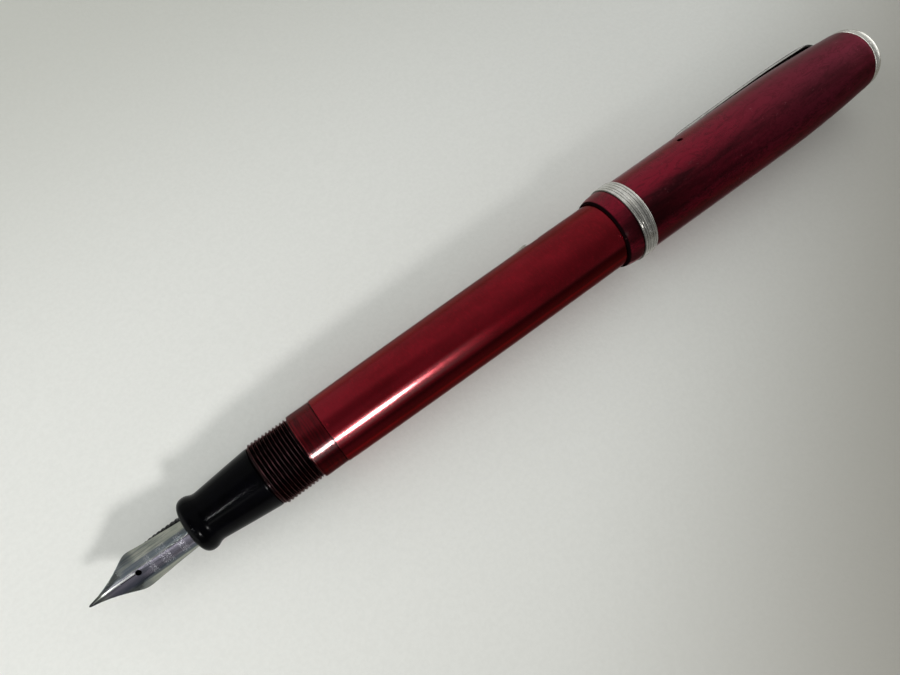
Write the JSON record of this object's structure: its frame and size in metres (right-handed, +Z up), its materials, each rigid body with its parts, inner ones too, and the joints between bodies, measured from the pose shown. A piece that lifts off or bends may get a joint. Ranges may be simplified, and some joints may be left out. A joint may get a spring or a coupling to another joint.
{
  "type": "fountain pen",
  "caption": "Lever-filling fountain pen with its screw cap posted on the barrel, steel nib bare, with opening lever, flexing pocket clip and pull-off cap.",
  "frame": {"origin": "under the middle of the whole pen's box, at the level of the lowest point, the bottom of the cap band", "axes": "+X along the pen from the nib to the crown, +Z up as the pen lies, +Y to the side the clip and the lever face"},
  "size_m": [0.1426, 0.0134, 0.0127],
  "materials": {
    "barrel_red": "pearly crimson plastic, satin, finely scratched around",
    "section_gloss": "polished black",
    "feed_rubber": "black hard rubber",
    "nib_steel": "polished steel, lightly worn",
    "sac_latex": "dull latex",
    "lever_metal": "nickel plated, worn",
    "pin_metal": "plain wire",
    "bar_steel": "spring steel",
    "cap_red": "pearly crimson plastic with smoky darkening",
    "liner_black": "moulded black",
    "band_nickel": "brushed nickel, worn",
    "clip_nickel": "nickel plated",
    "plug_black": "moulded black",
    "crown_nickel": "nickel plated, small nick at its edge"
  },
  "bodies": {
    "pen": {"barrel": "barrel_red", "grip_section": "section_gloss", "feed": "feed_rubber", "nib": "nib_steel", "ink_sac": "sac_latex", "lever_pin": "pin_metal"},
    "cap": {"cap_shell": "cap_red", "inner_cap": "liner_black", "cap_band": "band_nickel", "crown_plug": "plug_black", "crown_disc": "crown_nickel"},
    "clip": {"pocket_clip": "clip_nickel"},
    "lever": {"lever": "lever_metal"},
    "pressure_bar": {"pressure_bar": "bar_steel"}
  },
  "joints": [
    {"name": "cap_pull", "type": "slide", "parent": "pen", "child": "cap", "axis": [1, 0, 0], "range_m": [0, 0.04]},
    {"name": "clip_flex", "type": "hinge", "parent": "cap", "child": "clip", "pos_m": [0.0666, 0.00423, 0.00571], "axis": [0, -0.1392, -0.9903], "range_deg": [0, 5], "stiffness_Nm_per_rad": 0.8},
    {"name": "lever_lift", "type": "hinge", "parent": "pen", "child": "lever", "pos_m": [-0.021, 0.00408, 0.00697], "axis": [0, -0.1392, 0.9903], "range_deg": [0, 88]},
    {"name": "pressure_bar_press", "type": "hinge", "parent": "pen", "child": "pressure_bar", "pos_m": [0.0155, 0.00308, 0.00683], "axis": [0, -0.1392, 0.9903], "range_deg": [0, 3.85], "deforming": ["ink_sac"]}
  ],
  "couplings": [
    {"joint": "pressure_bar_press", "follows": "lever_lift", "ratio": 0.0435}
  ]
}
